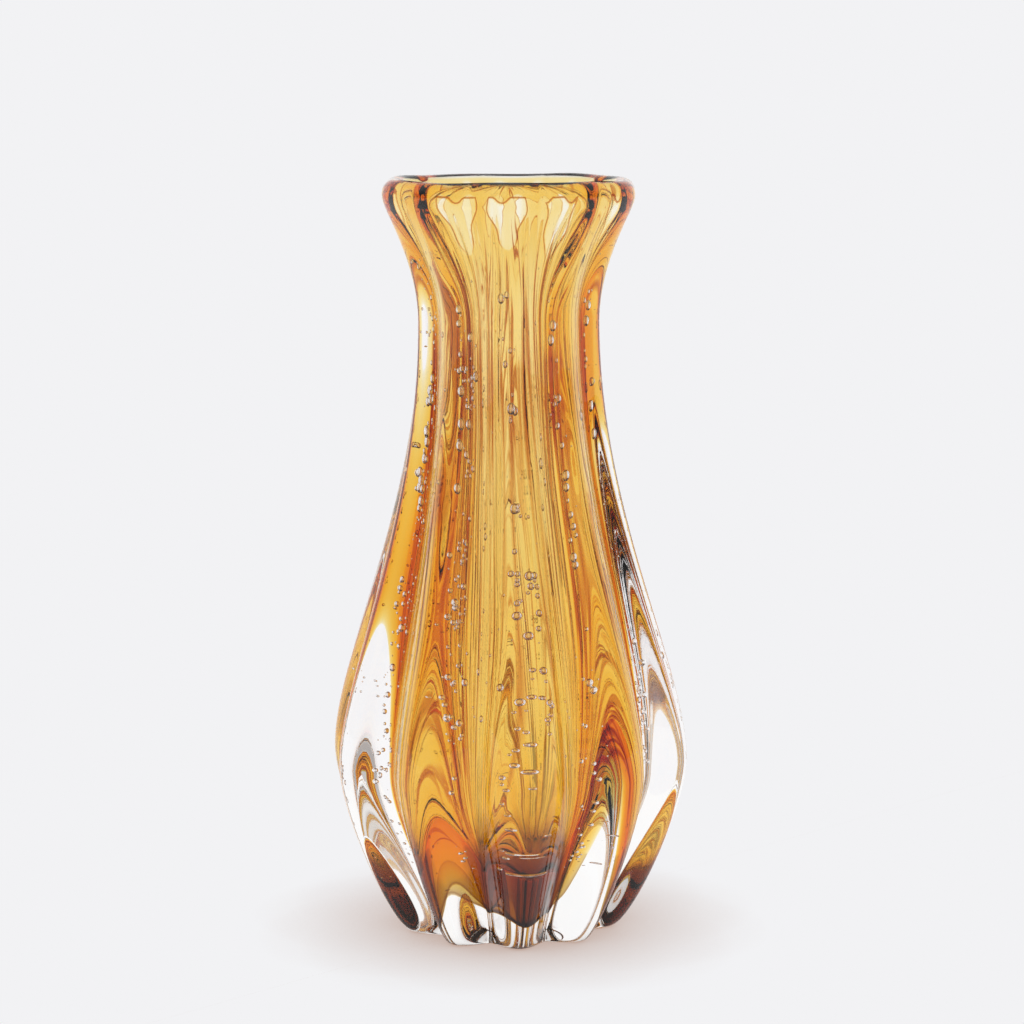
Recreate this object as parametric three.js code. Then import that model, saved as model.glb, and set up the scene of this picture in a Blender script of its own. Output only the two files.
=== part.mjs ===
// A mouth-blown vase in two fused layers of glass, with ten ribs pressed into it while it was hot.
// The amber lining is the first gather, blown into a narrow ribbed cup. The clear casing is the second
// gather over it, far thicker, drawn out into deep ribs that run from the lip down to the foot.
// Millimetres, +Z up. The origin is the middle of the flat foot, and the front of the vase faces -Y.

import * as THREE from "three";

// Outside of the casing, measured at the crest of a rib
const HEIGHT = 250;
const FOOT_RADIUS = 34.4;
const BELLY_RADIUS = 60.2;
const NECK_RADIUS = 30.7;
const MOUTH_RADIUS = 41.8;

// Where those radii lie: the belly up from the foot, the neck and the lip down from the top
const BELLY_HEIGHT = 58.4;
const NECK_DROP = 46.4;
const LIP_DROP = 7;

// How far the outline keeps to its direction at each of those places before it turns to the next one
const BELLY_REACH_DOWN = 16;
const BELLY_REACH_UP = 29;
const NECK_REACH_DOWN = 63;
const NECK_REACH_UP = 18.4;
const MOUTH_FLARE = 1;
const MOUTH_REACH = 5;

// How the outside leaves the foot: the crests curve outwards at once, the flutes rise steeply first
const CREST_FLARE = 8;
const CREST_LIFT = 2;
const FLUTE_FLARE = 1;
const FLUTE_LIFT = 11;

// Ribs: their number, the turn of the front one, and how far a flute lies inside the crests
const RIB_COUNT = 10;
const FRONT_RIB_TURN = THREE.MathUtils.degToRad(6);
const FLUTE_AT_FOOT = 5.4;
const FLUTE_AT_BELLY = 9.7;
const FLUTE_AT_NECK = 2.7;
const FLUTE_AT_MOUTH = 1;
const CROWN_WAVE = 0.5;

// A rib is rounder, and the flute beside it less of a sharp crease, the higher these numbers are
const RIB_FORM = 1.45;
const CUP_RIB_FORM = 1.4;
const BORE_RIB_FORM = 1.2;

// The ribs lean as they rise: how far they turn about the axis, and the height where that starts
const LEAN = THREE.MathUtils.degToRad(-8);
const LEAN_FROM = 80;

// How far the rounding of the lip swells past the mouth
const LIP_BULGE = 1;

// Clear glass outside the cup at the crests, over the rounding of the lip, and under the cup
const CLEAR_AT_BELLY = 23.7;
const CLEAR_AT_NECK = 8.8;
const CLEAR_AT_LIP = 4;
const CLEAR_UNDER_CUP = 10.5;

// Amber glass of the cup's wall at the crests, at the lip, and under the bore
const AMBER_AT_BELLY = 4.4;
const AMBER_AT_NECK = 3;
const AMBER_AT_LIP = 4;
const AMBER_UNDER_BORE = 15.5;

// The cup's rounded bottom: ten lobes that reach out into the ribs, and the flutes between them
const CUP_LOBE_RADIUS = 23;
const CUP_LOBE_FLUTE = 4.2;
const CUP_LOBE_FLARE = 2.5;
const CUP_LOBE_EDGE = 4;
const CUP_LOBE_RISE = 9;
const CUP_FLUTE_RISE = 1.5;
const CUP_BOTTOM_ROUNDING = 2;

// The cup's widest place, how far its outline keeps upright there, the shallow flutes outside it and in the
// bore, and how far the bore's outline keeps upright and its bottom keeps level before they curve together
const CUP_BELLY_HEIGHT = 75;
const CUP_REACH_DOWN = 30;
const CUP_REACH_UP = 45;
const CUP_FLUTE_AT_BELLY = 2;
const CUP_FLUTE_AT_NECK = 2.4;
const BORE_FLUTE_AT_BELLY = 1.8;
const BORE_FLUTE_AT_NECK = 1.4;
const BORE_FLUTE_AT_LIP = 0.5;
const BORE_REACH_DOWN = 34;
const BORE_FLOOR_SPREAD = 20;
const BORE_ROUNDING = 2;

// The two layers are fused on the real vase. The model keeps this much room between their faceted walls.
const SEAM_GAP = 0.4;

// Fineness of the facets
const STEPS_PER_RIB = 6;
const FOOT_STEPS = 7;
const WALL_STEPS = 8;
const FLARE_STEPS = 5;
const LIP_STEPS = 3;
const FLOOR_STEPS = 5;

const neckHeight = HEIGHT - NECK_DROP;
const lipHeight = HEIGHT - LIP_DROP;

// One span of an outline: a cubic curve through four handles, each a [radius, height] pair. Its first point
// is left out, because the span before it ends there.
function span(steps, ...handles) {
  const curve = new THREE.CubicBezierCurve(...handles.map((handle) => new THREE.Vector2(...handle)));
  return curve.getPoints(steps).slice(1);
}

// Outside of the casing, from the edge of the foot up to the crown of the lip
function outsideOutline({ foot, flare, lift, belly, neck, mouth, crown }) {
  return [
    new THREE.Vector2(foot, 0),
    ...span(
      FOOT_STEPS,
      [foot, 0],
      [foot + flare, lift],
      [belly, BELLY_HEIGHT - BELLY_REACH_DOWN],
      [belly, BELLY_HEIGHT],
    ),
    ...span(
      WALL_STEPS,
      [belly, BELLY_HEIGHT],
      [belly, BELLY_HEIGHT + BELLY_REACH_UP],
      [neck, neckHeight - NECK_REACH_DOWN],
      [neck, neckHeight],
    ),
    ...span(
      FLARE_STEPS,
      [neck, neckHeight],
      [neck, neckHeight + NECK_REACH_UP],
      [mouth - MOUTH_FLARE, lipHeight - MOUTH_REACH],
      [mouth, lipHeight],
    ),
    ...span(
      LIP_STEPS,
      [mouth, lipHeight],
      [mouth + LIP_BULGE, lipHeight + LIP_DROP / 2],
      [mouth - LIP_BULGE, crown],
      [mouth - CLEAR_AT_LIP, crown],
    ),
  ];
}

// The face where the two layers meet, from the underside of the cup up to the crown of the lip
function seamOutline({ floor, rise, lobe, belly, neck, lip, crown }) {
  const edge = [lobe, floor + rise + CUP_LOBE_EDGE];
  const top = [lobe + CUP_LOBE_FLARE, floor + rise + CUP_LOBE_RISE];
  const edgeMirroredInTop = top.map((value, axis) => 2 * value - edge[axis]);
  return [
    ...span(
      FLOOR_STEPS,
      [0, floor],
      [lobe - CUP_BOTTOM_ROUNDING, floor],
      edge,
      top,
    ),
    ...span(
      FOOT_STEPS,
      top,
      edgeMirroredInTop,
      [belly, CUP_BELLY_HEIGHT - CUP_REACH_DOWN],
      [belly, CUP_BELLY_HEIGHT],
    ),
    ...span(
      WALL_STEPS,
      [belly, CUP_BELLY_HEIGHT],
      [belly, CUP_BELLY_HEIGHT + CUP_REACH_UP],
      [neck, neckHeight - NECK_REACH_DOWN],
      [neck, neckHeight],
    ),
    ...span(
      FLARE_STEPS,
      [neck, neckHeight],
      [neck, neckHeight + NECK_REACH_UP],
      [lip - MOUTH_FLARE, lipHeight - MOUTH_REACH],
      [lip, lipHeight],
    ),
    ...span(1, [lip, lipHeight], [lip, lipHeight], [lip, crown], [lip, crown]),
  ];
}

// The bore, from the middle of its rounded bottom up to the crown of the lip
function boreOutline({ belly, neck, lip, crown, crownRadius, floor }) {
  return [
    ...span(
      FLOOR_STEPS + FOOT_STEPS,
      [0, floor],
      [BORE_FLOOR_SPREAD, floor],
      [belly, CUP_BELLY_HEIGHT - BORE_REACH_DOWN],
      [belly, CUP_BELLY_HEIGHT],
    ),
    ...span(
      WALL_STEPS,
      [belly, CUP_BELLY_HEIGHT],
      [belly, CUP_BELLY_HEIGHT + CUP_REACH_UP],
      [neck, neckHeight - NECK_REACH_DOWN],
      [neck, neckHeight],
    ),
    ...span(
      FLARE_STEPS,
      [neck, neckHeight],
      [neck, neckHeight + NECK_REACH_UP],
      [lip - MOUTH_FLARE, lipHeight - MOUTH_REACH],
      [lip, lipHeight],
    ),
    ...span(
      LIP_STEPS,
      [lip, lipHeight],
      [lip + BORE_ROUNDING / 2, crown - BORE_ROUNDING],
      [lip + BORE_ROUNDING, crown],
      [crownRadius, crown],
    ),
  ];
}

// Sizes of the outside at a crest, and in the flutes between the crests
const crest = {
  foot: FOOT_RADIUS,
  flare: CREST_FLARE,
  lift: CREST_LIFT,
  belly: BELLY_RADIUS,
  neck: NECK_RADIUS,
  mouth: MOUTH_RADIUS,
  crown: HEIGHT,
};
const flute = {
  foot: crest.foot - FLUTE_AT_FOOT,
  flare: FLUTE_FLARE,
  lift: FLUTE_LIFT,
  belly: crest.belly - FLUTE_AT_BELLY,
  neck: crest.neck - FLUTE_AT_NECK,
  mouth: crest.mouth - FLUTE_AT_MOUTH,
  crown: crest.crown - CROWN_WAVE,
};

// Sizes of the face between the layers. The lining is smaller than the casing's hollow by the gap.
function seamSizes(gap) {
  const ribs = {
    lobe: CUP_LOBE_RADIUS - gap,
    belly: crest.belly - CLEAR_AT_BELLY - gap,
    neck: crest.neck - CLEAR_AT_NECK - gap,
    lip: crest.mouth - CLEAR_AT_LIP - gap,
    crown: crest.crown,
    floor: CLEAR_UNDER_CUP + gap,
    rise: 0,
  };
  const flutes = {
    lobe: ribs.lobe - CUP_LOBE_FLUTE,
    belly: ribs.belly - CUP_FLUTE_AT_BELLY,
    neck: ribs.neck - CUP_FLUTE_AT_NECK,
    lip: flute.mouth - CLEAR_AT_LIP - gap,
    crown: flute.crown,
    floor: ribs.floor,
    rise: CUP_FLUTE_RISE,
  };
  return [ribs, flutes];
}

// Sizes of the bore, measured in from the cup's outside
const [cupRibs, cupFlutes] = seamSizes(SEAM_GAP);
const boreRibs = {
  belly: cupRibs.belly - AMBER_AT_BELLY,
  neck: cupRibs.neck - AMBER_AT_NECK,
  lip: cupRibs.lip - AMBER_AT_LIP,
  crown: cupRibs.crown,
  crownRadius: cupRibs.lip,
  floor: cupRibs.floor + AMBER_UNDER_BORE,
};
const boreFlutes = {
  belly: boreRibs.belly - BORE_FLUTE_AT_BELLY,
  neck: boreRibs.neck - BORE_FLUTE_AT_NECK,
  lip: cupFlutes.lip - AMBER_AT_LIP - BORE_FLUTE_AT_LIP,
  crown: cupFlutes.crown,
  crownRadius: cupFlutes.lip,
  floor: boreRibs.floor,
};

// How far the ribs have turned at a height: nothing at first, then smoothly up to the full lean at the top
function leanAt(height) {
  return LEAN * THREE.MathUtils.smoothstep(height, LEAN_FROM, HEIGHT);
}

// Rings of points round the axis. Each lies between the flute's outline and the crest's one, and swings from
// one to the other and back with every rib.
function ribbedRings(crestOutline, fluteOutline, form) {
  const around = RIB_COUNT * STEPS_PER_RIB;
  return crestOutline.map((outer, ring) => {
    const inner = fluteOutline[ring];
    return Array.from({ length: around }, (_, step) => {
      const angle = (2 * Math.PI * step) / around;
      const share = Math.abs(Math.cos((RIB_COUNT * angle) / 2)) ** form;
      const radius = THREE.MathUtils.lerp(inner.x, outer.x, share);
      const height = THREE.MathUtils.lerp(inner.y, outer.y, share);
      const turned = angle + FRONT_RIB_TURN + leanAt(height) - Math.PI / 2;
      return new THREE.Vector3(radius * Math.cos(turned), radius * Math.sin(turned), height);
    });
  });
}

// A closed solid from rings that start round one point on the axis and end round another. With the rings
// counted from the first point, its faces look outwards.
function turnedSolid(firstHeight, rings, lastHeight) {
  const around = rings[0].length;
  const first = rings.length * around;
  const last = first + 1;
  const points = [...rings.flat(), new THREE.Vector3(0, 0, firstHeight), new THREE.Vector3(0, 0, lastHeight)];
  const index = [];
  for (let step = 0; step < around; step += 1) {
    const next = (step + 1) % around;
    index.push(first, next, step);
    for (let below = 0; below < first - around; below += around) {
      const above = below + around;
      index.push(below + step, below + next, above + next);
      index.push(below + step, above + next, above + step);
    }
    index.push(last, first - around + step, first - around + next);
  }
  const geometry = new THREE.BufferGeometry().setFromPoints(points);
  geometry.setIndex(index);
  geometry.computeVertexNormals();
  return geometry;
}

function clearCasing() {
  const outside = ribbedRings(outsideOutline(crest), outsideOutline(flute), RIB_FORM);
  const hollow = ribbedRings(...seamSizes(0).map(seamOutline), CUP_RIB_FORM);
  const rings = [...outside.slice(0, -1), ...hollow.reverse()];
  const colourless = new THREE.MeshStandardMaterial({ color: 0xeef3f4, roughness: 0.02, metalness: 0 });
  const casing = new THREE.Mesh(turnedSolid(0, rings, CLEAR_UNDER_CUP), colourless);
  casing.name = "clear_casing";
  return casing;
}

function amberLining() {
  const outside = ribbedRings(seamOutline(cupRibs), seamOutline(cupFlutes), CUP_RIB_FORM);
  const bore = ribbedRings(boreOutline(boreRibs), boreOutline(boreFlutes), BORE_RIB_FORM);
  const rings = [...outside, ...bore.slice(0, -1).reverse()];
  const amber = new THREE.MeshStandardMaterial({ color: 0xe0a030, roughness: 0.02, metalness: 0 });
  const lining = new THREE.Mesh(turnedSolid(cupRibs.floor, rings, boreRibs.floor), amber);
  lining.name = "amber_lining";
  return lining;
}

const vase = new THREE.Group();
vase.add(clearCasing(), amberLining());

export default vase;
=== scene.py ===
# %% [markdown]
# # A ribbed vase of amber and clear glass
# The vase is two gathers of glass. The first is a cup of amber glass, blown into a ribbed mould. The
# second is clear glass, far thicker, laid over the whole cup and drawn out into ten deep ribs. The packed
# model of both is loaded first and stays where it is, and every surface below is made round the same
# upright axis.

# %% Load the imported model
import math
import bpy
import numpy as np
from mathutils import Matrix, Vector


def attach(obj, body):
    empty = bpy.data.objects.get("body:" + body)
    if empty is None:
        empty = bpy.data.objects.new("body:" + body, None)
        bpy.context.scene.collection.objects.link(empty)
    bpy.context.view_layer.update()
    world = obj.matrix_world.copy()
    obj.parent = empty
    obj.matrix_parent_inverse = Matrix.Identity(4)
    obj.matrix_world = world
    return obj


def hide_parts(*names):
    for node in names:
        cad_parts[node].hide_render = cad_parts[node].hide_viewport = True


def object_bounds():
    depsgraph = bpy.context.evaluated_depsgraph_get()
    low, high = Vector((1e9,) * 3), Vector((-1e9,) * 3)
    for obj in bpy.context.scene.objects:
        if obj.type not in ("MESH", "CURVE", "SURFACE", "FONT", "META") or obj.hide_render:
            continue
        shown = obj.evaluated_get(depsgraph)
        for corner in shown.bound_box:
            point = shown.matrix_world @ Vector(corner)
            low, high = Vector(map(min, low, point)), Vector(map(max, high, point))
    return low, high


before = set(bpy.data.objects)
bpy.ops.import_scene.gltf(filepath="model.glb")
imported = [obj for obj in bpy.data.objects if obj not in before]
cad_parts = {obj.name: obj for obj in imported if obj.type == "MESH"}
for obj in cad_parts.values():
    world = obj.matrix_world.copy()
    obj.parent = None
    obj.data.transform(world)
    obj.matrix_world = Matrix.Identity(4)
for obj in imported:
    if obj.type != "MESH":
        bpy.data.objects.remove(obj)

cad_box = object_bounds()
print("nodes", sorted(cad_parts), "box", cad_box)

# %% [markdown]
# ## Units and colours
# Sizes are written in millimetres, because a glassmaker thinks in them, and become metres only where a
# mesh is made. Colours are written as sRGB hex values, as a colour picker gives them, and one function
# makes them linear. Only the walls of the room are written as linear light, because they stand for lamps.

# %% Units and colours
MM = 0.001


def linear(hex_colour):
    """An sRGB hex colour as linear light: each channel's power curve is undone."""
    channels = np.array([int(hex_colour[i:i + 2], 16) for i in (0, 2, 4)]) / 255
    low = channels / 12.92
    high = ((channels + 0.055) / 1.055) ** 2.4
    return (*np.where(channels <= 0.04045, low, high).tolist(), 1.0)


WHITE = linear("FFFFFF")
print("white", WHITE)

# %% [markdown]
# ## The outlines
# A turned shape needs one outline. A ribbed one needs two: the outline along the crest of a rib, and the
# one along the flute between two ribs. Each is a chain of cubic curves in radius and height, upright
# where the belly is widest and where the neck is narrowest. They could be drawn as curve objects, but as
# arrays the ribs, the cup and the bubbles can all be worked out from them.

# %% Outlines as chains of cubic curves
def cubic(handles, steps, close=False):
    """One cubic curve: four handles, each (radius, height), weighted by the third powers of t and 1 - t."""
    t = np.linspace(0, 1, steps + close, endpoint=close)[:, None]
    a, b, c, d = np.asarray(handles, float)
    return (1 - t) ** 3 * a + 3 * (1 - t) ** 2 * t * b + 3 * (1 - t) * t ** 2 * c + t ** 3 * d


def outline(spans, rings):
    """Cubic curves end to end, each with its number of rings: each starts where the one before it ended."""
    last = len(spans) - 1
    return np.vstack([cubic(handles, rings[i], close=i == last) for i, handles in enumerate(spans)])


# %% Heights that the outlines share, and how far their handles reach
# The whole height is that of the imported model
HEIGHT = round(float(cad_box[1][2]) / MM, 1)
LIP_HEIGHT = HEIGHT - 7
NECK_HEIGHT = 203.6
NECK_REACH_DOWN, NECK_REACH_UP = 63, 18.4
# Under the lip the wall leans out: how far the last handle lies inwards and below
MOUTH_FLARE, MOUTH_REACH = 1, 5
print("height", HEIGHT, "mm")


def belly_to_mouth(belly, widest, reach, neck, mouth):
    """Two curves: from the belly, widest at a height of its own, in to the neck and out to the mouth."""
    return [
        [(belly, widest), (belly, widest + reach),
         (neck, NECK_HEIGHT - NECK_REACH_DOWN), (neck, NECK_HEIGHT)],
        [(neck, NECK_HEIGHT), (neck, NECK_HEIGHT + NECK_REACH_UP),
         (mouth - MOUTH_FLARE, LIP_HEIGHT - MOUTH_REACH), (mouth, LIP_HEIGHT)],
    ]


# %% The two outlines of the outside
BELLY_HEIGHT, BELLY_REACH_DOWN, BELLY_REACH_UP = 58.4, 16, 29
FOOT_ROUNDING = 1.2
# The lip's rounding from its widest ring: handle outwards and up, handle and end of the curve inwards
LIP_BULGE, LIP_REACH, CROWN_REACH, LIP_ROUNDING = 1, 3.5, 1, 4
# Rings of points along each curve
OUTSIDE_RINGS = (4, 44, 40, 26, 12)


def outside_outline(foot, flare, lift, belly, neck, mouth):
    """From the foot up: its small rounding, out to the belly, in to the neck, out to the mouth, over the
    lip. The wall leaves the foot's edge in the direction of (flare, lift)."""
    lean = np.array([flare, lift]) / math.hypot(flare, lift)
    edge = np.array([foot, 0.0])
    start = edge + FOOT_ROUNDING * lean
    return outline([
        [edge - (FOOT_ROUNDING, 0), edge, edge, start],
        [start, (foot + flare, lift), (belly, BELLY_HEIGHT - BELLY_REACH_DOWN), (belly, BELLY_HEIGHT)],
        *belly_to_mouth(belly, BELLY_HEIGHT, BELLY_REACH_UP, neck, mouth),
        [(mouth, LIP_HEIGHT), (mouth + LIP_BULGE, LIP_HEIGHT + LIP_REACH),
         (mouth - CROWN_REACH, HEIGHT), (mouth - LIP_ROUNDING, HEIGHT)],
    ], OUTSIDE_RINGS)


crest_line = outside_outline(foot=34.4, flare=8, lift=2, belly=60.2, neck=30.7, mouth=41.8)
flute_line = outside_outline(foot=29, flare=1, lift=11, belly=50.5, neck=28, mouth=40.8)
print("crest", crest_line.max(axis=0), "flute", flute_line.max(axis=0))

# %% [markdown]
# ## Ribs
# Round the axis the wall swings from the crest's outline to the flute's and back with every rib. A cosine
# without its sign gives round crests and sharp flutes, and a power a little over one softens the flutes,
# as hot glass does. Higher up the ribs lean round the axis, because the vase was turned a little while
# its neck was drawn out. Modifiers could twist a ribbed tube, but as a formula the same ribs also place
# cords and bubbles.

# %% Ribbed walls
RIB_COUNT = 10
RIB_ANGLE = 2 * np.pi / RIB_COUNT
COLUMNS_TO_A_RIB = 34
AROUND = COLUMNS_TO_A_RIB * RIB_COUNT
turn = np.arange(AROUND) / AROUND * 2 * np.pi
print(RIB_COUNT, "ribs,", AROUND, "columns of points round the axis")


def rib_share(angle, form):
    """1 on a crest and 0 in a flute: a cosine of half the rib angle, without its sign, to a power."""
    return np.abs(np.cos(RIB_COUNT * angle / 2)) ** form


def ribbed(crest, flute, form):
    """Rings of (radius, angle, height): between flute's and crest's outline by each column's rib share."""
    share = rib_share(turn, form)[None, :]
    radius = flute[:, :1] + (crest[:, :1] - flute[:, :1]) * share
    height = flute[:, 1:] + (crest[:, 1:] - flute[:, 1:]) * share
    return np.stack([radius, np.broadcast_to(turn, radius.shape), height], axis=-1)


# %% The radius of a wall at any place
def radius_at(line, height):
    """The radius of an outline at a height, read between its points, which have to run upwards."""
    return np.interp(height, line[:, 1], line[:, 0])


def wall_radius(lines, form, angle, height):
    """The radius of a ribbed wall at any place: both outlines read at the height, mixed by rib share."""
    crest, flute = [radius_at(line, height) for line in lines]
    return flute + (crest - flute) * rib_share(angle, form)


# %% How the ribs lean and the rim waves
# The rib in front isn't quite in the middle
FRONT_RIB_TURN = math.radians(6)
LEAN, LEAN_FROM = math.radians(-8), 80
# Size of the rim's waves, and the height where they start
RIM_WAVE, RIM_WAVE_FROM = 0.35, 232
# Waves to a turn, share of the size, start in radians
RIM_WAVES = ((3, 0.6, 0.7), (7, 0.4, 2.1))


def waves(angle, table):
    """Sines round the axis, added up: for each row its size times the sine of its count times the angle."""
    return sum(size * np.sin(count * angle + start) for count, size, start in table)


def lean_at(height):
    """How far a rib has turned at a height: a smooth step, from nothing at LEAN_FROM to all at the top."""
    t = np.clip((height - LEAN_FROM) / (HEIGHT - LEAN_FROM), 0, 1)
    return LEAN * t * t * (3 - 2 * t)


def placed(wall):
    """Points of a wall of (radius, angle, height): the rim sinks by two slow waves, because it was rounded
    off in the fire, and each point turns by the front rib's angle and by the lean at its height."""
    radius, angle, height = np.moveaxis(wall, -1, 0)
    near_rim = np.clip((height - RIM_WAVE_FROM) / (HEIGHT - RIM_WAVE_FROM), 0, 1) ** 2
    height = height - RIM_WAVE * (1 - waves(angle, RIM_WAVES)) * near_rim
    direction = angle + FRONT_RIB_TURN + lean_at(height) - math.pi / 2
    return np.stack([radius * np.cos(direction), radius * np.sin(direction), height], axis=-1)


print("the ribs lean by", round(math.degrees(float(lean_at(NECK_HEIGHT))), 1), "degrees at the neck")

# %% [markdown]
# The bore isn't as smooth as a drawn curve. The cold mould left fine wrinkles in the amber cup, and
# drawing it out stretched them into long upright creases. They break up what is seen through the bore, so
# that the glass doesn't look turned. A sum of waves round the axis gives them, each with its own start
# and all fading in and out along the height.

# %% Fine creases of the bore
# Waves to a turn, size, start in radians
CREASE_WAVES = ((44, 1.0, 0.0), (71, 0.55, 1.3), (27, 0.6, 4.1))
# Swings of the creases to the side: radians, millimetres of height to a radian, shift with the angle
CREASE_SWINGS = ((0.012, 23, 0), (0.008, 9, 3))
# Depth of a crease, the sum of the waves that makes a whole one, and the most that the sum counts below zero
CREASE_DEPTH, CREASE_FULL, CREASE_HOLLOW = 1.3, 2.4, 0.2
# Heights where the creases start and end, and the height over which they fade
CREASE_FROM, CREASE_TO, CREASE_FADE = 28, 246, 25


def creases(angle, height):
    """Depth of the creases in millimetres: three waves round the axis are added up, and squaring the sum
    makes its ridges narrow and leaves wide smooth wall between them."""
    swing = sum(size * np.sin(height / rise + shift * angle) for size, rise, shift in CREASE_SWINGS)
    ridge = np.maximum(waves(angle + swing, CREASE_WAVES) / CREASE_FULL, -CREASE_HOLLOW)
    fade_in = np.clip((height - CREASE_FROM) / CREASE_FADE, 0, 1)
    fade_out = np.clip((CREASE_TO - height) / CREASE_FADE, 0, 1)
    return CREASE_DEPTH * ridge ** 2 * np.sign(ridge) * fade_in * fade_out


def creased(wall):
    """The wall with its radius made smaller by the creases."""
    wall = wall.copy()
    wall[..., 0] -= creases(wall[..., 1], wall[..., 2])
    return wall


# %% [markdown]
# ## Meshes
# Every wall is a stack of rings with the same number of points, so its faces follow from the grid alone.
# One point on the axis closes the first ring and another closes the last one, and the piece has no hole.
# A spun curve would do for a round vase, but a spin can't follow the ribs.

# %% A piece from points and faces
def new_piece(name, points, faces, smooth=True):
    """An object that keeps its place in its mesh: points in millimetres, faces as lists of point numbers."""
    mesh = bpy.data.meshes.new(name)
    mesh.from_pydata((points * MM).tolist(), [], faces)
    if smooth:
        mesh.shade_smooth()
    piece = bpy.data.objects.new(name, mesh)
    bpy.context.scene.collection.objects.link(piece)
    print(name, len(mesh.polygons), "faces", [round(v / MM, 1) for v in piece.dimensions])
    return piece


def grid_faces(rings, around):
    """Quads between neighbouring rings: each point, the one beside it, and the two above them."""
    ring, column = np.arange(rings - 1)[:, None] * around, np.arange(around)[None, :]
    beside = (column + 1) % around
    quads = [ring + column, ring + beside, ring + around + beside, ring + around + column]
    return np.stack(quads, -1).reshape(-1, 4)


def fan_faces(rings, around):
    """Triangles from the first ring to the first pole and from the last ring to the last pole."""
    column = np.arange(around)
    beside, last, pole = (column + 1) % around, (rings - 1) * around, rings * around
    first_fan = np.stack([np.full(around, pole), beside, column], -1)
    last_fan = np.stack([np.full(around, pole + 1), last + column, last + beside], -1)
    return np.vstack([first_fan, last_fan])


def closed_mesh(name, rings, first, last):
    """Rings joined by quads, with a fan at either end to a point on the axis at the height that is given.
    Outwards is to the right of the way that the rings run."""
    count, around, _ = rings.shape
    points = np.vstack([rings.reshape(-1, 3), [[0, 0, first]], [[0, 0, last]]])
    return new_piece(name, points, grid_faces(count, around).tolist() + fan_faces(count, around).tolist())


# %% [markdown]
# ## The clear casing
# To light, the vase is one block of glass: clear and amber glass bend it alike, so nothing happens where
# they meet except that the colour starts. The casing piece is therefore the whole skin between glass and
# air: the flat foot, the ribbed outside, the rounded lip, and the bore down to its bottom.

# %% Outlines of the bore
# The bore and the cup are widest at the same height
CUP_HEIGHT, CUP_REACH_UP = 75, 45
BORE_FLOOR, FLOOR_SPREAD, BORE_REACH_DOWN = 26, 20, 34
# Radius of the ring next to the axis
INNERMOST = 0.6
# Radius of the lip's crown, and how far the handles of the lip's inside lie outwards and below the top
LIP_CROWN, THROAT_TOP, THROAT_BEND, THROAT_DROP = 38.1, 2, 1, 2
BORE_RINGS = (12, 26, 40, 40)
# Power of the rib share: the higher, the narrower the crests
BORE_FORM = 1.2


def bore_outline(lip, neck, belly):
    """From the crown of the lip down: the lip's inside, the throat, the belly, the rounded bottom. The last
    point is dropped, because the point on the axis lies at the same height."""
    rising = belly_to_mouth(belly, CUP_HEIGHT, CUP_REACH_UP, neck, lip)
    return outline([
        [(LIP_CROWN, HEIGHT), (lip + THROAT_TOP, HEIGHT), (lip + THROAT_BEND, HEIGHT - THROAT_DROP),
         (lip, LIP_HEIGHT)],
        *[handles[::-1] for handles in rising[::-1]],
        [(belly, CUP_HEIGHT), (belly, CUP_HEIGHT - BORE_REACH_DOWN), (FLOOR_SPREAD, BORE_FLOOR),
         (INNERMOST, BORE_FLOOR)],
    ], BORE_RINGS)[:-1]


bore_crest = bore_outline(lip=33.4, neck=18.9, belly=32.1)
bore_flute = bore_outline(lip=31.9, neck=17.5, belly=30.3)
bore_lines = (bore_crest[::-1], bore_flute[::-1])
bore = creased(ribbed(bore_crest, bore_flute, BORE_FORM))
print("the bore is narrowest with a radius of", bore[bore[..., 2] > CUP_HEIGHT][:, 0].min().round(2), "mm")

# %% The casing's skin
RIB_FORM = 1.45
FOOT_SHARES = np.array([0.25, 0.5, 0.75])[:, None]


def with_foot(line):
    """The outline with three rings of the flat foot before it, and without its last point on the lip."""
    return np.vstack([FOOT_SHARES * line[0] * (1, 0), line[:-1]])


outside = ribbed(with_foot(crest_line), with_foot(flute_line), RIB_FORM)
casing = closed_mesh("glass_casing", placed(np.vstack([outside, bore])), 0, BORE_FLOOR)

# %% [markdown]
# ## The amber lining
# The lining is the cup inside the casing. Its inner face lies a twentieth of a millimetre behind the
# bore's skin, close enough that no eye sees it, and its outer face is where the clear glass starts. At
# the bottom the cup has ten lobes, which reach out into the ribs like fingers and are the darkest part of
# the vase, because the light passes through the thickest amber there.

# %% Outlines of the cup
CUP_FLOOR, CUP_REACH_DOWN, CUP_FORM = 10.5, 30, 1.4
# The lobe's rounding: height of its end, height of the handle at its edge, and how far these lie out and in
LOBE_RISE, LOBE_EDGE, LOBE_FLARE, LOBE_TUCK = 9, 4, 2.5, 2
CUP_BELOW_RIM, TOP_REACH_UP, TOP_REACH_DOWN = 2, 2, 1.5
LOBE_RINGS = 26
CUP_RINGS = (LOBE_RINGS, 32, 32, 60, 12)


def cup_outline(lip, neck, belly, lobe, rise):
    """From the underside up: the rounded lobe, whose side is higher by the rise, the slope to the belly,
    the neck, and the upright edge at the lip."""
    edge = np.array([lobe, CUP_FLOOR + rise + LOBE_EDGE])
    top = np.array([lobe + LOBE_FLARE, CUP_FLOOR + rise + LOBE_RISE])
    cup_top = HEIGHT - CUP_BELOW_RIM
    return outline([
        [(INNERMOST, CUP_FLOOR), (lobe - LOBE_TUCK, CUP_FLOOR), edge, top],
        [top, 2 * top - edge, (belly, CUP_HEIGHT - CUP_REACH_DOWN), (belly, CUP_HEIGHT)],
        *belly_to_mouth(belly, CUP_HEIGHT, CUP_REACH_UP, neck, lip),
        [(lip, LIP_HEIGHT), (lip, LIP_HEIGHT + TOP_REACH_UP),
         (lip, cup_top - TOP_REACH_DOWN), (lip, cup_top)],
    ], CUP_RINGS)


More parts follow.
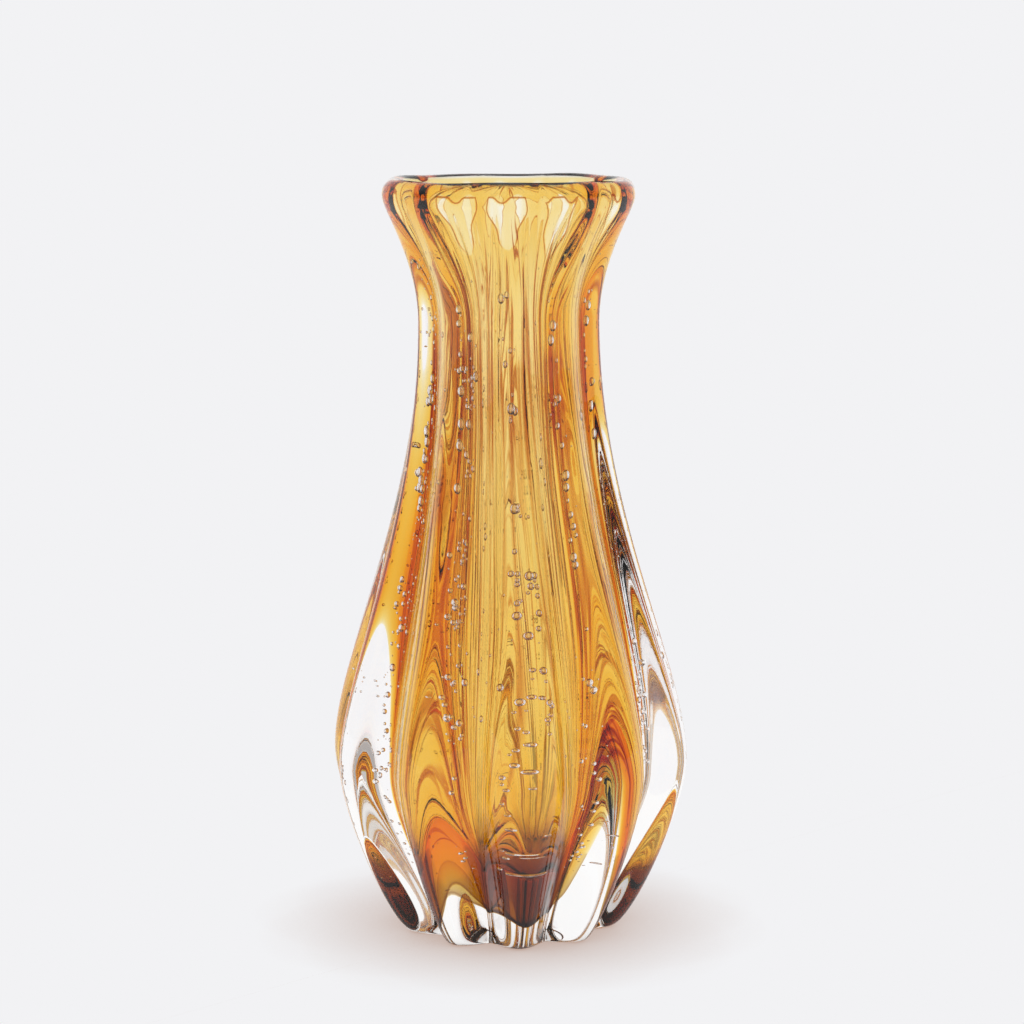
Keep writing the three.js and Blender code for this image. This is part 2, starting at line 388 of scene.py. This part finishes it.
cup_crest = cup_outline(lip=38.8, neck=22.3, belly=36.5, lobe=23, rise=0)
cup_flute = cup_outline(lip=37.8, neck=19.9, belly=34.5, lobe=18.8, rise=1.5)
cup_lines = (cup_crest[LOBE_RINGS:], cup_flute[LOBE_RINGS:])
cup = ribbed(cup_crest, cup_flute, CUP_FORM)
print("the cup's widest ring has a radius of", cup[..., 0].max().round(1), "mm")

# %% [markdown]
# A gather is never equally thick all round, because hot glass sags on the blowing iron. This one is thicker
# at the right of the neck and at the left of the shoulder, where the vase looks darker. A cosine's square
# adds the glass, most where it faces that side and none past a right angle from it.

# %% The thicker sides of the amber
# Degrees from the front rib, most extra thickness, heights where it starts, is full, thins again and ends
THICK_SIDES = [(86, 3.6, (160, 178, 205, 222)), (-98, 2.3, (78, 108, 150, 190))]
FADE_IN_AND_OUT = (0, 1, 1, 0)


def extra_amber(angle, height):
    """Extra millimetres of amber: a cosine's square round each thick side, faded in and out by height."""
    extra = np.zeros(angle.shape)
    for side, most, heights in THICK_SIDES:
        facing = np.clip(np.cos(angle + lean_at(height) - math.radians(side)), 0, 1)
        extra += most * facing ** 2 * np.interp(height, heights, FADE_IN_AND_OUT)
    return extra


extra = extra_amber(cup[..., 1], cup[..., 2])
cup[..., 0] += extra
print("the amber is up to", extra.max().round(1), "mm thicker at its sides")

# %% [markdown]
# Inside the mouth the amber was worked so thin in ten places that they look like cream windows. Each is
# broad at the top and pointed below, with bowed sides. The cup's outer face moves in to almost nothing
# there. It could be a paler colour painted on, but only real thinness stays pale from every side.

# %% Outlines of the thin places
# Degrees from the front rib, half width in degrees, lowest and highest height in millimetres
THIN_PLACES = [(-25, 10.5, 227, 245), (1, 9.5, 229, 245), (29, 8.5, 225, 245), (70, 9, 229, 245),
               (108, 9, 230, 246), (138, 10, 225, 246), (167, 11, 227, 246), (194, 11.5, 225, 246),
               (238, 9, 229, 246), (284, 9, 230, 245)]
SIDE_BOW, SIDE_WAVES = 0.15, 9
TOP_BOW, TOP_WAVES = 1.2, 4
print(len(THIN_PLACES), "thin places")


def thin_side(place, up):
    """Half the width in degrees at a share of the height: it grows as a square root, and a wave bows it."""
    middle, half, _, _ = place
    return half * np.sqrt(np.clip(up, 0, 1)) * (1 + SIDE_BOW * np.sin(SIDE_WAVES * up + middle))


def thin_top(place, off):
    """The upper end's height at some degrees off the middle: the highest height, less a cosine across it."""
    middle, half, _, high = place
    return high - TOP_BOW * np.cos(off / half * TOP_WAVES + middle)


# %% Thin places of the amber at the mouth
THIN_AMBER = 0.4
# Width of the slope from thin to full, in degrees at the sides and in millimetres at the top
SIDE_EDGE, TOP_EDGE = 0.5, 0.6


def amber_left(angle, height):
    """The share of the amber's thickness that is left: none inside each thin place, all outside, and a
    steep slope between them."""
    left = np.ones(angle.shape)
    for place in THIN_PLACES:
        middle, _, low, high = place
        off = (np.degrees(angle) - middle + 180) % 360 - 180
        up = (height - low) / (high - low)
        between_sides = np.clip((thin_side(place, up) - np.abs(off)) / SIDE_EDGE, 0, 1)
        below_top = np.clip((thin_top(place, off) - height) / TOP_EDGE, 0, 1)
        left = np.minimum(left, 1 - between_sides * below_top * (up > 0))
    return left


thinnest = radius_at(bore_lines[0], cup[..., 2]) + THIN_AMBER
left = amber_left(cup[..., 1], cup[..., 2])
cup[..., 0] = thinnest + (cup[..., 0] - thinnest) * left
print(int((left < 0.5).sum()), "points of the cup lie in thin places")

# %% The lining
SKIN_GAP = 0.05
FLOOR_GAP = 1.5 * SKIN_GAP
# Rings of the lip's inside that are clear glass only
CLEAR_LIP_RINGS = 6

lining_bore = bore[CLEAR_LIP_RINGS:].copy()
lining_bore[..., 0] += SKIN_GAP
lining_bore[..., 2] -= FLOOR_GAP * np.linspace(0, 1, len(lining_bore))[:, None]
lining_rings = placed(np.vstack([cup, lining_bore]))
lining = closed_mesh("glass_lining", lining_rings, CUP_FLOOR, BORE_FLOOR - FLOOR_GAP)

# %% [markdown]
# ## Glass
# Soda-lime glass bends light by 1.5 and its fire-polished skin has no roughness at all. Clear glass takes
# no colour. Amber glass is coloured through its whole thickness by iron and sulphur, which take blue
# light first, then green. That is why a thin wall is straw yellow and the thick bottom is brown, and why
# an absorbing volume is right here where a tinted surface isn't. The amber has no surface shader at all,
# because light doesn't bend where it passes from clear glass into amber.

# %% A node with its settings and links
def add_node(tree, kind, settings=None, links=None, **attributes):
    """Adds one node, sets its attributes and its sockets' values, and links sockets to other outputs."""
    node = tree.nodes.new(kind)
    for name, value in attributes.items():
        setattr(node, name, value)
    for name, value in (settings or {}).items():
        node.inputs[name].default_value = value
    for name, output in (links or {}).items():
        tree.links.new(output, node.inputs[name])
    return node


def new_material(name):
    """An empty node material and its output node."""
    material = bpy.data.materials.new(name)
    material.use_nodes = True
    material.node_tree.nodes.clear()
    return material, add_node(material.node_tree, "ShaderNodeOutputMaterial")


# %% Fire-polished clear glass
# Soda-lime glass, smoothed by the flame: no colour, no roughness, and mirror-like at a low angle
GLASS_INDEX = 1.5

clear_glass, out = new_material("fire_polished_clear_glass")
skin = add_node(clear_glass.node_tree, "ShaderNodeBsdfPrincipled", {
    "Base Color": WHITE, "Transmission Weight": 1.0, "Roughness": 0.0, "IOR": GLASS_INDEX})
clear_glass.node_tree.links.new(skin.outputs[0], out.inputs["Surface"])
casing.data.materials.append(clear_glass)
print(clear_glass.name, "on", casing.name)


# %% Glass that only takes light
def absorbing_glass(name, loss):
    """Glass without a surface. Each millimetre leaves e to the power of minus the loss of the light, in
    red, green and blue. The node's loss is its density times one minus its colour, so the greatest loss
    becomes the density."""
    material, out = new_material(name)
    most = max(loss)
    body = add_node(material.node_tree, "ShaderNodeVolumeAbsorption", {
        "Color": (*[1 - part / most for part in loss], 1), "Density": most / MM})
    material.node_tree.links.new(body.outputs[0], out.inputs["Volume"])
    print(name, "lets through", [round(math.exp(-10 * part), 2) for part in loss], "of the light in 10 mm")
    return material


# %% Amber glass, coloured through its thickness
# Straw yellow where it is thin, amber at a centimetre, brown where a whole lobe is seen from its end
amber_glass = absorbing_glass("iron_amber_glass", (0.007, 0.055, 0.245))
lining.data.materials.append(amber_glass)

# %% [markdown]
# ## Cords
# The folds that the mould left in the amber closed up when the cup was drawn out. Each became a cord: a
# thin upright blade of darker glass inside the wall of the cup. Seen through the wall, they are the fine
# dark lines that run up the whole vase. Lines painted on the wall would lie still, but these widen and
# bend as the ribs in front of them pass. Where a cord lies in the amber, both volumes take their part of
# the light.

# %% Where each cord runs and how thick it is
CORD_COUNT = 84
# Share of the space between two cords
CORD_SHIFT = 0.42
# Lower ends: the power draws most of them to the lowest height
CORD_LOWEST, CORD_LOW_RANGE, CORD_LOW_POWER = 27, 110, 2.5
# Least and most: upper end, half width, share of the depth that there is
CORD_TOPS, CORD_WIDTHS, CORD_DEPTHS = (180, 240), (0.36, 0.95), (0.4, 0.95)

draw = np.random.default_rng(5)
cord_shift = draw.uniform(-CORD_SHIFT, CORD_SHIFT, CORD_COUNT)
cord_angle = (np.arange(CORD_COUNT) + cord_shift) * 2 * np.pi / CORD_COUNT
cord_low = CORD_LOWEST + CORD_LOW_RANGE * draw.uniform(0, 1, CORD_COUNT) ** CORD_LOW_POWER
cord_high = draw.uniform(*CORD_TOPS, CORD_COUNT)
cord_width = draw.uniform(*CORD_WIDTHS, CORD_COUNT)
cord_deep = draw.uniform(*CORD_DEPTHS, CORD_COUNT)
cord_wave = draw.uniform(0, 2 * np.pi, CORD_COUNT)[:, None]
print(CORD_COUNT, "cords, each", (cord_high - cord_low).mean().round(), "mm long on average")

# %% Every cord as rings of four corners
CORD_RINGS = 60
# Size of the two sines, and millimetres of height to a radian of each
CORD_SWING, CORD_SWING_RISE, CORD_PULSE, CORD_PULSE_RISE = 0.02, 28, 0.25, 11
# Amber that stays free of the cord, inside and outside together, and the most half depth
CORD_MARGIN, CORD_HALF_DEPTH = 1.0, 1.1
# Heights, and the share of its depth that a cord has there
CORD_STRENGTH = ([30, 90, 150, 190], [0.36, 0.4, 0.34, 1.1])
# How steeply both ends widen, and the least share of the width
CORD_POINT, CORD_THINNEST = 4, 0.05


def cord_rings():
    """Inner edge, one side, outer edge and other side at each height. A sine swings the cord to the side,
    another makes it thicker and thinner, and a steep sine over its length thins both ends."""
    t = np.linspace(0, 1, CORD_RINGS)[None, :]
    height = cord_low[:, None] + (cord_high - cord_low)[:, None] * t
    angle = cord_angle[:, None] + CORD_SWING * np.sin(height / CORD_SWING_RISE + cord_wave)
    near = wall_radius(bore_lines, BORE_FORM, angle, height)
    far = wall_radius(cup_lines, CUP_FORM, angle, height)
    middle = (near + far) / 2
    half = np.minimum((far - near - CORD_MARGIN) / 2, CORD_HALF_DEPTH) * cord_deep[:, None]
    half = half * np.interp(height, *CORD_STRENGTH)
    pulse = 1 - CORD_PULSE + CORD_PULSE * np.sin(height / CORD_PULSE_RISE + cord_wave)
    taper = np.clip(np.sin(np.pi * t) * CORD_POINT, CORD_THINNEST, 1) * pulse
    wide = cord_width[:, None] * taper / middle
    deep = half * np.sqrt(taper)
    sides = [(middle - deep, angle), (middle, angle - wide), (middle + deep, angle), (middle, angle + wide)]
    return np.stack([np.stack([*side, height], -1) for side in sides], axis=2)


def many_blades(name, rings):
    """One mesh of closed blades: quads between neighbouring rings, and one quad over each end."""
    blades, count, corners, _ = rings.shape
    last = (count - 1) * corners
    ends = np.array([[3, 2, 1, 0], [last, last + 1, last + 2, last + 3]])
    one = np.vstack([grid_faces(count, corners), ends])
    faces = (one[None] + (np.arange(blades) * count * corners)[:, None, None]).reshape(-1, 4)
    return new_piece(name, rings.reshape(-1, 3), faces.tolist(), smooth=False)


cords = many_blades("amber_cords", placed(cord_rings()))

# %% [markdown]
# Where the amber was thinned at the mouth, what was pushed aside lies as a fold round each thin place. It
# is a blade like the cords, of the same glass, and gives the windows their fine brown outline.

# %% Folds round the thin places
# Half width, depth, distance from the bore, rings of points
FOLD_WIDE, FOLD_DEEP, FOLD_INSET, FOLD_RINGS = 0.27, 1.1, 0.7, 60
# Shares of the fold's way: where it starts, and where its side turns into its top
FOLD_START, FOLD_CORNER = 0.02, 0.36
# How steeply both ends widen, and the least share of the width
FOLD_POINT, FOLD_THINNEST = 12, 0.2
THROAT_RADIUS = 35


def fold_rings():
    """Rings of four corners: up one side of each thin place, over its top and down the other side. The
    blade's width is at a right angle to its way along the wall."""
    t = np.linspace(FOLD_START, 1 - FOLD_START, FOLD_RINGS)
    to_end = np.minimum(t, 1 - t)
    up = np.clip(to_end / FOLD_CORNER, 0, 1)
    half_width = FOLD_WIDE * np.clip(to_end * FOLD_POINT, FOLD_THINNEST, 1)
    folds = []
    for place in THIN_PLACES:
        middle, _, low, high = place
        off = thin_side(place, up) * np.clip((t - 0.5) / (0.5 - FOLD_CORNER), -1, 1)
        height = np.minimum(low + (high - low) * up, thin_top(place, off))
        angle = np.radians(middle + off)
        rise, run = np.gradient(height), np.gradient(angle) * THROAT_RADIUS
        length = np.hypot(rise, run)
        radius = radius_at(bore_lines[0], height) + FOLD_INSET
        aside, upwards = rise / length * half_width / radius, -run / length * half_width
        sides = [(radius, angle, height),
                 (radius + FOLD_DEEP / 2, angle - aside, height - upwards),
                 (radius + FOLD_DEEP, angle, height),
                 (radius + FOLD_DEEP / 2, angle + aside, height + upwards)]
        folds.append(np.stack([np.stack(side, -1) for side in sides], axis=1))
    return np.stack(folds)


folds = many_blades("amber_folds", placed(fold_rings()))

# %% The glass of cords and folds
# The same amber, chilled on the mould and heated again, which darkens it: each millimetre takes far more
cord_glass = absorbing_glass("dark_amber_cords", (0.5, 1.3, 2.3))
cords.data.materials.append(cord_glass)
folds.data.materials.append(cord_glass)
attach(folds, "root")
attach(cords, "root")

# %% [markdown]
# ## The darker bottom
# The bottom of the cup is browner than above: the solid bottom of the cup, all round the lowest part
# of the bore, takes more of the red light too. Its outer face narrows to the bore as it rises, so that
# the brown fades out.

# %% The browner bottom of the cup
# Amber left round it, heights where its outer face starts to narrow and ends, height of its top
CORE_SKIN, CORE_NARROWS, CORE_CUP_TOP, CORE_TOP = 0.4, 18, 35, 36
# How late on its way up the outer face narrows: at a power of one evenly, above it later
CORE_POWER = 2.2
# The lobe and the first rings of the slope above it
CORE_RINGS = LOBE_RINGS + 16
# Least radius of a ring that was moved inwards
CLOSEST = 0.3

core_cup = ribbed(cup_crest[:CORE_RINGS], cup_flute[:CORE_RINGS], CUP_FORM)
core_cup[..., 0] = np.maximum(core_cup[..., 0] - CORE_SKIN, CLOSEST)
core_cup[..., 2] += CORE_SKIN * np.linspace(1, 0, CORE_RINGS)[:, None]
above = np.clip((core_cup[..., 2] - CORE_NARROWS) / (CORE_TOP - CORE_NARROWS), 0, 1)
beside_bore = np.minimum(radius_at(bore_lines[0], core_cup[..., 2]) + 3 * CORE_SKIN, core_cup[..., 0])
core_cup[..., 0] += (beside_bore - core_cup[..., 0]) * above ** CORE_POWER
core_cup = core_cup[core_cup[:, 0, 2] < CORE_CUP_TOP]

lowest = bore_crest[:, 1] < CORE_TOP
core_bore = ribbed(bore_crest[lowest], bore_flute[lowest], BORE_FORM)
core_bore[..., 0] += 2 * CORE_SKIN
core_bore[..., 2] -= CORE_SKIN
# Browner amber fills the bottom of the cup, so the vase is darker towards its bottom
core = closed_mesh("darker_bottom", placed(np.vstack([core_cup, core_bore])),
                   CUP_FLOOR + CORE_SKIN, BORE_FLOOR - CORE_SKIN)

# %% Darker amber of the bottom
# It adds to the amber and takes a little more red than blue, which turns the amber's yellow to brown
core_glass = absorbing_glass("darker_bottom_amber", (0.03, 0.026, 0.02))
core.data.materials.append(core_glass)
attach(core, "root")

# %% [markdown]
# ## The dark underside
# The darkest amber is a thin shell just inside the cup's underside, thick in the middle and thin at the
# side, and it gives the lobes their dark round ends from every side. A darker bottom all through would
# also darken the belly above it.

# %% The dark skin of the cup's underside
SKIN_RINGS = LOBE_RINGS + 13
# Amber below it, its thickness in the middle and its thickness at the side
SKIN_DEEP, SKIN_THICK, SKIN_THIN = 0.12, 1.2, 0.1

skin_wall = ribbed(cup_crest[:SKIN_RINGS], cup_flute[:SKIN_RINGS], CUP_FORM)
outwards = np.linspace(0, 1, SKIN_RINGS)[:, None]


def sunk(depth):
    """The cup's underside moved into the amber by a depth: up at the axis, inwards at the side."""
    wall = skin_wall.copy()
    wall[..., 0] = np.maximum(wall[..., 0] - depth * outwards, CLOSEST)
    wall[..., 2] += depth * (1 - outwards)
    return wall


skin_depth = SKIN_DEEP + SKIN_THICK + (SKIN_THIN - SKIN_THICK) * outwards
# A thin shell of the darkest amber just inside the cup's underside, darker towards the bottom
dark_underside = closed_mesh("dark_underside", placed(np.vstack([sunk(SKIN_DEEP), sunk(skin_depth)[::-1]])),
                          CUP_FLOOR + SKIN_DEEP, CUP_FLOOR + SKIN_DEEP + SKIN_THICK)

# %% Darkest amber of the underside
# The darkest brown, and all of it within about a millimetre, so each millimetre takes far more light
skin_glass = absorbing_glass("darkest_underside_amber", (0.27, 0.4, 0.5))
dark_underside.data.materials.append(skin_glass)
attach(dark_underside, "root")

# %% Where the glass pieces belong
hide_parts("clear_casing")
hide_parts("amber_lining")
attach(casing, "root")
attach(lining, "root")
print("the drawn casing and lining take the place of the packed ones")

# %% [markdown]
# ## Air bubbles
# When the clear gather was laid over the ribbed cup, air stayed in it and rose in strings along the ribs.
# The pull of the glass shaped the bubbles: long and upright in the drawn neck, round in the middle, and
# flattened in the slow thick glass of the lower belly. Each one is a small ball, stretched, whose skin
# leads from glass into air. A noise pattern can't make such voids, and a thousand objects would be slow,
# so all are one mesh.

# %% Strings of bubbles
# Steps of the walk aside, least and most share of the depth, spread of the sizes
DRIFT, DEPTHS, SIZE_SPREAD = 0.05, (0.06, 0.3), 0.45
# Rib, number of bubbles, lowest and highest height, spread in degrees, usual radius
RIB_STRINGS = [(0, 34, 28, 215, 1.8, 0.85), (0, 12, 30, 90, 3.0, 0.75), (0.5, 16, 60, 190, 2.5, 0.55)]
SINGLE_STRINGS = [(-0.9, 70, 85, 200, 2.0, 0.5), (0.15, 22, 72, 125, 1.6, 0.85),
                  (-1.9, 130, 95, 225, 4.5, 0.3), (2.1, 16, 95, 215, 4.0, 0.3)]
STRAYS = (0, 420, 20, 238, 180, 0.27)
chance = np.random.default_rng(7)


def string_of_bubbles(rib, count, low, high, spread, size):
    """Angle, height, depth share and radius of the bubbles in one string along a rib. A slow random walk
    and a scatter of its own move each one aside."""
    height = np.sort(chance.uniform(low, high, count))
    wander = np.cumsum(chance.normal(0, DRIFT, count)) + chance.normal(0, 1, count)
    angle = np.full(count, rib * RIB_ANGLE) + np.radians(spread) * wander
    depth = chance.uniform(*DEPTHS, count)
    radius = size * chance.lognormal(0, SIZE_SPREAD, count)
    return np.stack([angle, height, depth, radius], axis=-1)


strings = [string_of_bubbles(first + rib, *rest) for first, *rest in RIB_STRINGS for rib in range(RIB_COUNT)]
strings += [string_of_bubbles(*row) for row in SINGLE_STRINGS]
strings.append(string_of_bubbles(*STRAYS))
bubble_rows = np.vstack(strings)
print(len(strings), "strings")

# %% Places with only small bubbles
# Rib, height, reach up and down, largest radius: a larger bubble would show there as a broad plate,
# because the rib in front of it is a lens
CALM_PLACES = [(6.5, 88, 18, 0.4), (2.5, 130, 35, 0.3)]

stays = np.ones(len(bubble_rows), bool)
for rib, middle, reach, largest in CALM_PLACES:
    near_rib = np.abs(bubble_rows[:, 0] / RIB_ANGLE - rib) < 1
    near_height = np.abs(bubble_rows[:, 1] - middle) < reach
    stays &= ~(near_rib & near_height & (bubble_rows[:, 3] > largest))
angle, height, depth, radius = bubble_rows[stays].T
print(int((~stays).sum()), "bubbles left out")

# %% Where the bubbles lie in the casing
# Heights, and the largest radius there
LARGEST_BUBBLE = ([30, 60, 80], [0.7, 0.9, 1.25])
SMALLEST_BUBBLE, WALL_SHARE = 0.18, 0.3
# Clear glass that covers a bubble towards the amber, and both ways together
COVER_INSIDE, COVER_IN_ALL = 0.25, 1.0

inner = wall_radius(cup_lines, CUP_FORM, angle, height)
wall = wall_radius((crest_line, flute_line), RIB_FORM, angle, height) - inner
radius = np.clip(radius, SMALLEST_BUBBLE, np.minimum(np.interp(height, *LARGEST_BUBBLE), WALL_SHARE * wall))
distance = inner + radius + COVER_INSIDE + depth * np.maximum(wall - 2 * radius - COVER_IN_ALL, 0)
centres = placed(np.stack([distance, angle, height], axis=-1))
print(len(centres), "bubbles, the widest", (2 * radius.max()).round(2), "mm")

# %% One mesh of small stretched balls
BALL_AROUND, BALL_RINGS = 10, 5


def ball():
    """A unit ball of rings between two poles: sines and cosines of the angle down and the angle round."""
    down = np.linspace(0, np.pi, BALL_RINGS + 2)[1:-1][:, None]
    around = np.arange(BALL_AROUND) / BALL_AROUND * 2 * np.pi
    across = [np.sin(down) * np.cos(around), np.sin(down) * np.sin(around)]
    rings = np.stack(np.broadcast_arrays(*across, -np.cos(down)), -1)
    return np.vstack([rings.reshape(-1, 3), [[0, 0, -1]], [[0, 0, 1]]])


def many_balls(name, centres, radii):
    """One mesh with a ball at each centre, each stretched by its own three radii."""
    one = ball()
    points = (centres[:, None, :] + one[None] * radii[:, None, :]).reshape(-1, 3)
    starts = (np.arange(len(centres)) * len(one))[:, None, None]
    quads = (grid_faces(BALL_RINGS, BALL_AROUND)[None] + starts).reshape(-1, 4)
    fans = (fan_faces(BALL_RINGS, BALL_AROUND)[None] + starts).reshape(-1, 3)
    return new_piece(name, points, quads.tolist() + fans.tolist())


# %% The air bubbles
# Heights, and how far the pull drew a bubble out there. Its height grows by the power of 0.8 and both its
# widths shrink by the power of 0.4, so that its volume stays the same.
STRETCH = ([25, 50, 75, 110, 170, 240], [0.6, 0.7, 1.0, 1.25, 1.9, 1.6])
TALL_POWER = 0.8

stretch = np.interp(centres[:, 2], *STRETCH)
across = stretch ** (-TALL_POWER / 2)
radii = radius[:, None] * np.stack([across, across, stretch ** TALL_POWER], axis=-1)
bubbles = many_balls("air_bubbles", centres, radii)

# %% The bubbles' skin, from glass into air
# Air in glass bends light by one over glass's own index, and the skin has no roughness and no colour
air, out = new_material("air_in_glass")
gap = add_node(air.node_tree, "ShaderNodeBsdfGlass", {
    "Color": WHITE, "Roughness": 0.0, "IOR": 1 / GLASS_INDEX})
air.node_tree.links.new(gap.outputs[0], out.inputs["Surface"])
bubbles.data.materials.append(air)
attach(bubbles, "root")

# %% [markdown]
# ## The paper floor
# The vase stands on white paper that runs up behind it without an edge. To the camera and through the
# glass the paper is one even pale colour, with a painted shadow, warmer and darker, only where the vase
# keeps the open room from it. So it gives light of its own there, and is plain matt paper to all other
# light.

# %% Paper floor
FLOOR_HALF, FLOOR_BELOW = 60_000, 0.2

corners = np.array([(-1, -1, 0), (1, -1, 0), (1, 1, 0), (-1, 1, 0)]) * FLOOR_HALF - (0, 0, FLOOR_BELOW)
floor = new_piece("paper_floor", corners, [(0, 1, 2, 3)], smooth=False)

# %% White paper
# Matt uncoated paper: rough, with a weak gloss
# The shade colour is a painted shadow, warm as if light had come through the amber
BACKDROP, SHADE, PAPER = linear("F2F2F4"), linear("BDA294"), linear("ECECEE")
# How near the vase has to be to paint shade on the paper, and the paper's brightness when it is seen through
# glass
SHADE_REACH, THROUGH_GLASS = 45, 1.08

paper, out = new_material("white_paper")
tree = paper.node_tree
sheet = add_node(tree, "ShaderNodeBsdfPrincipled", {
    "Base Color": PAPER, "Roughness": 0.8, "Specular IOR Level": 0.2})
# Ambient occlusion paints the shadow: near the vase the glow takes the shade colour, in the open the
# backdrop colour
open_sky = add_node(tree, "ShaderNodeAmbientOcclusion", {"Distance": SHADE_REACH * MM}, samples=8)
glow_with_painted_shadow = add_node(tree, "ShaderNodeMixRGB", {"Color1": SHADE, "Color2": BACKDROP},
                {"Fac": open_sky.outputs["AO"]})
ray = add_node(tree, "ShaderNodeLightPath")
bent = add_node(tree, "ShaderNodeMath", None, {
    0: ray.outputs["Is Glossy Ray"], 1: ray.outputs["Is Transmission Ray"]}, operation="MAXIMUM")
seen = add_node(tree, "ShaderNodeMath", None, {
    0: ray.outputs["Is Camera Ray"], 1: bent.outputs[0]}, operation="MAXIMUM")
brightness = add_node(tree, "ShaderNodeMapRange", {"To Min": 1.0, "To Max": THROUGH_GLASS},
                      {"Value": bent.outputs[0]})
shown = add_node(tree, "ShaderNodeEmission", None, {
    "Color": glow_with_painted_shadow.outputs[0], "Strength": brightness.outputs[0]})
mixed = add_node(tree, "ShaderNodeMixShader", None, {
    0: seen.outputs[0], 1: sheet.outputs[0], 2: shown.outputs[0]})
tree.links.new(mixed.outputs[0], out.inputs["Surface"])
floor.data.materials.append(paper)
print(paper.name, "with", len(tree.nodes), "nodes")

# %% [markdown]
# ## The room
# Glass has no look of its own: it shows the room, bent. So the room matters as much as the glass. It is
# white behind the vase, darkest at its sides, and light grey in front and above. The grey sides are what
# draw the dark lines along the ribs. The camera itself sees the paper's colour everywhere behind the
# vase.

# %% White room
# Brightness of the room in linear light: in front, a little warmer at the sides, above
FRONT, SIDE, TOP = (0.72, 0.72, 0.72, 1), (0.41, 0.38, 0.37, 1), (0.7, 0.7, 0.7, 1)
# Places from the front, 0, past the sides, 0.5, to the back, 1
SIDE_FROM, SIDE_TO, BACK_FROM = 0.42, 0.58, 0.72
# Heights of the way that a ray goes, where the side walls end and the ceiling is reached
WALL_TOP, CEILING = 0.25, 0.6

world = bpy.data.worlds.new("white_room")
bpy.context.scene.world = world
world.use_nodes = True
tree = world.node_tree
tree.nodes.clear()
way = add_node(tree, "ShaderNodeTexCoord").outputs["Generated"]
axes = add_node(tree, "ShaderNodeSeparateXYZ", links={"Vector": way})
to_back = add_node(tree, "ShaderNodeMapRange", {"From Min": -1.0}, {"Value": axes.outputs["Y"]})
walls = add_node(tree, "ShaderNodeValToRGB", links={"Fac": to_back.outputs[0]})
stops = walls.color_ramp.elements
stops[0].position, stops[0].color = 0, FRONT
stops[1].position, stops[1].color = 1, WHITE
for position, colour in ((SIDE_FROM, SIDE), (SIDE_TO, SIDE), (BACK_FROM, WHITE)):
    stops.new(position).color = colour

# %% The ceiling and what the camera sees
upwards = add_node(tree, "ShaderNodeMapRange", {"From Min": WALL_TOP, "From Max": CEILING},
                   {"Value": axes.outputs["Z"]})
room = add_node(tree, "ShaderNodeMixRGB", {"Color2": TOP},
                {"Fac": upwards.outputs[0], "Color1": walls.outputs[0]})
ray = add_node(tree, "ShaderNodeLightPath")
shown = add_node(tree, "ShaderNodeMixRGB", {"Color2": BACKDROP},
                 {"Fac": ray.outputs["Is Camera Ray"], "Color1": room.outputs[0]})
light = add_node(tree, "ShaderNodeBackground", {"Strength": 1.0}, {"Color": shown.outputs[0]})
add_node(tree, "ShaderNodeOutputWorld", links={"Surface": light.outputs[0]})
print("room of", len(stops), "stops, from a brightness of", FRONT[0], "in front to white behind")

# %% [markdown]
# ## Camera
# A long lens about a metre away, a little above the rim and tilted down by nine degrees, as the ellipses
# of the mouth and the foot show.

# %% Camera
CAMERA_PLACE = (1, -980, 292.8)
CAMERA_PITCH = math.radians(8.893)
LENS, SENSOR, NEAREST_SEEN = 105.17, 36, 10

camera_data = bpy.data.cameras.new("camera")
camera_data.sensor_width, camera_data.lens = SENSOR, LENS
camera_data.clip_start = NEAREST_SEEN * MM
camera = bpy.data.objects.new("camera", camera_data)
bpy.context.scene.collection.objects.link(camera)
camera.location = [part * MM for part in CAMERA_PLACE]
camera.rotation_euler = (math.pi / 2 - CAMERA_PITCH, 0, 0)
bpy.context.scene.camera = camera
bpy.context.scene.view_settings.view_transform = "Standard"
print("camera at", [round(part, 3) for part in camera.location])
